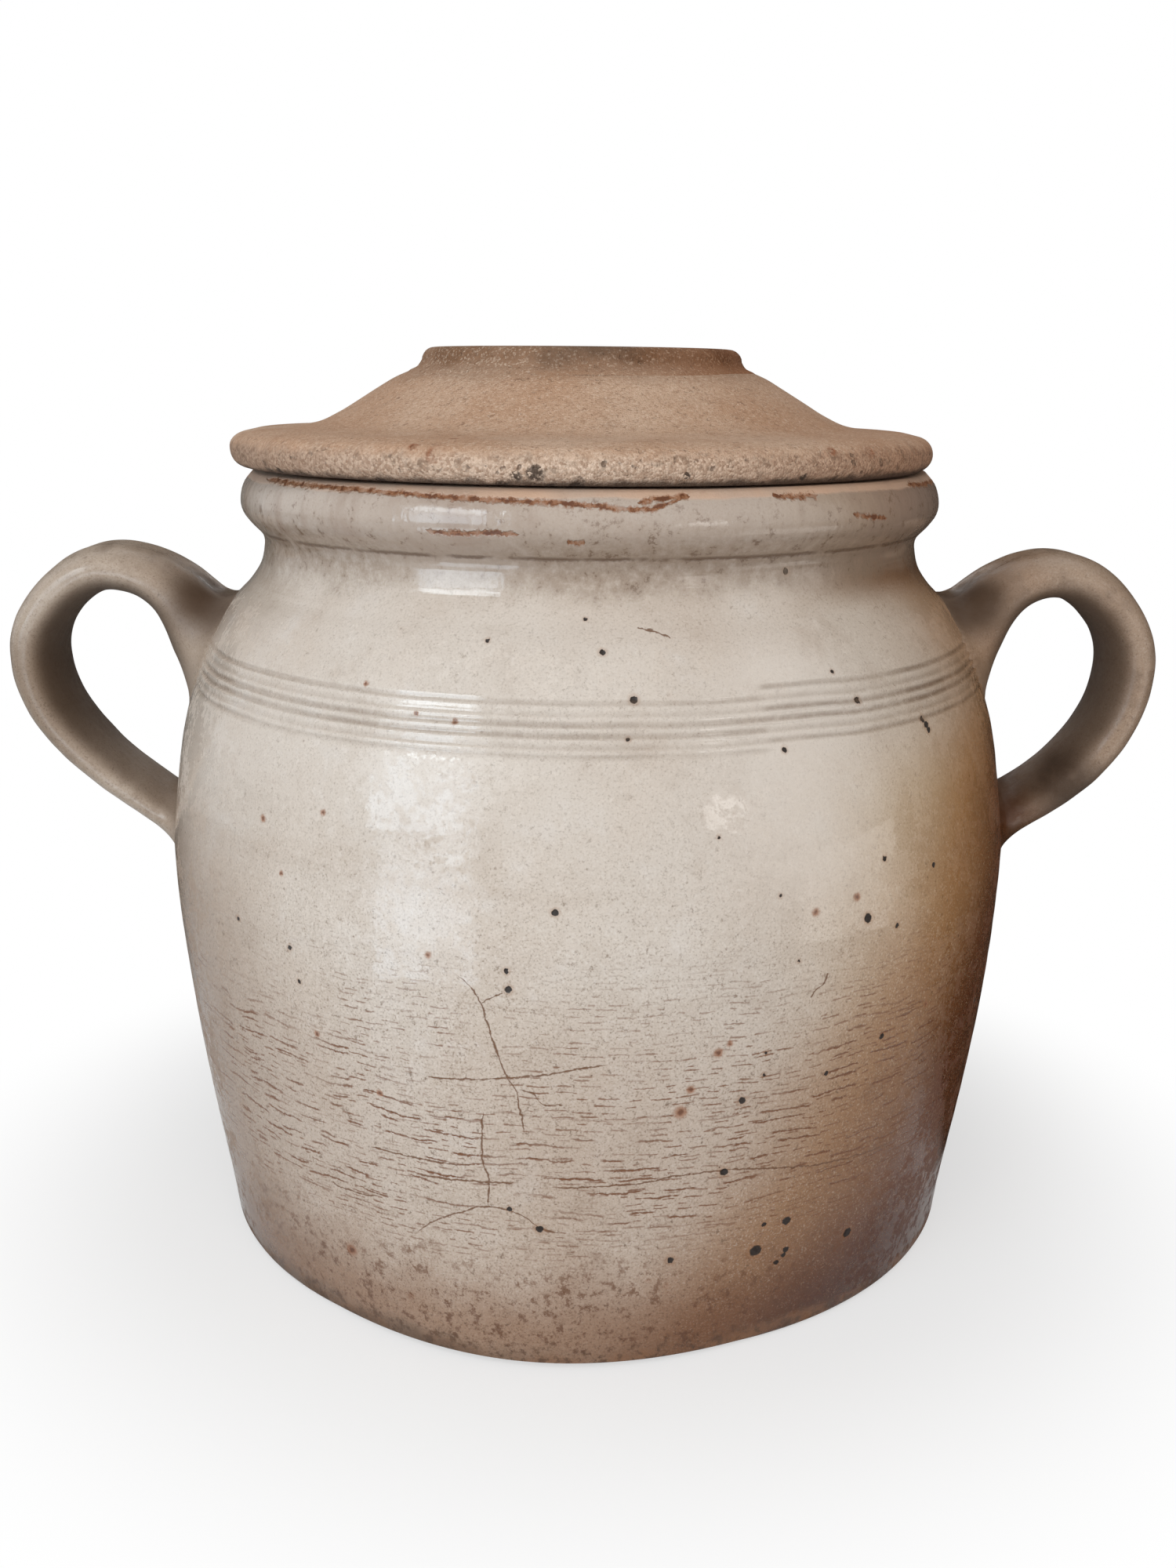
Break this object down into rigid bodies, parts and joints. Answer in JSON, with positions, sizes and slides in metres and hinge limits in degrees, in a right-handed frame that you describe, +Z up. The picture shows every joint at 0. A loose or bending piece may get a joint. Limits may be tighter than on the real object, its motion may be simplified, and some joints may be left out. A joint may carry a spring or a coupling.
{
  "type": "confit pot",
  "caption": "Stoneware confit pot: a swelling glazed jar with combed shoulder, rolled collar, two side strap handles and a loose unglazed lid that lifts off.",
  "frame": {"origin": "centre of the flat base, on the surface that the pot stands on", "axes": "+Z up along the turning axis; the handles lie along +X and -X; the side seen in the picture faces -Y"},
  "size_m": [0.3136, 0.2288, 0.2353],
  "materials": {
    "pot_glaze": "glossy warm grey-beige glaze with iron specks and fine brown craze lines",
    "handle_left_glaze": "thin grey-brown glaze over the pulled clay, satin",
    "handle_right_glaze": "thin grey-brown glaze over the pulled clay, satin",
    "lid_clay": "unglazed fired clay, matte and sandy",
    "crown_clay": "unglazed fired clay, darkened by handling, matte"
  },
  "bodies": {
    "pot": {"pot_body": "pot_glaze", "handle_left": "handle_left_glaze", "handle_right": "handle_right_glaze"},
    "lid": {"lid_cover": "lid_clay", "lid_crown": "crown_clay"}
  },
  "joints": [
    {"name": "lid_lift", "type": "slide", "parent": "pot", "child": "lid", "axis": [0, 0, 1], "range_m": [0, 0.15]}
  ]
}
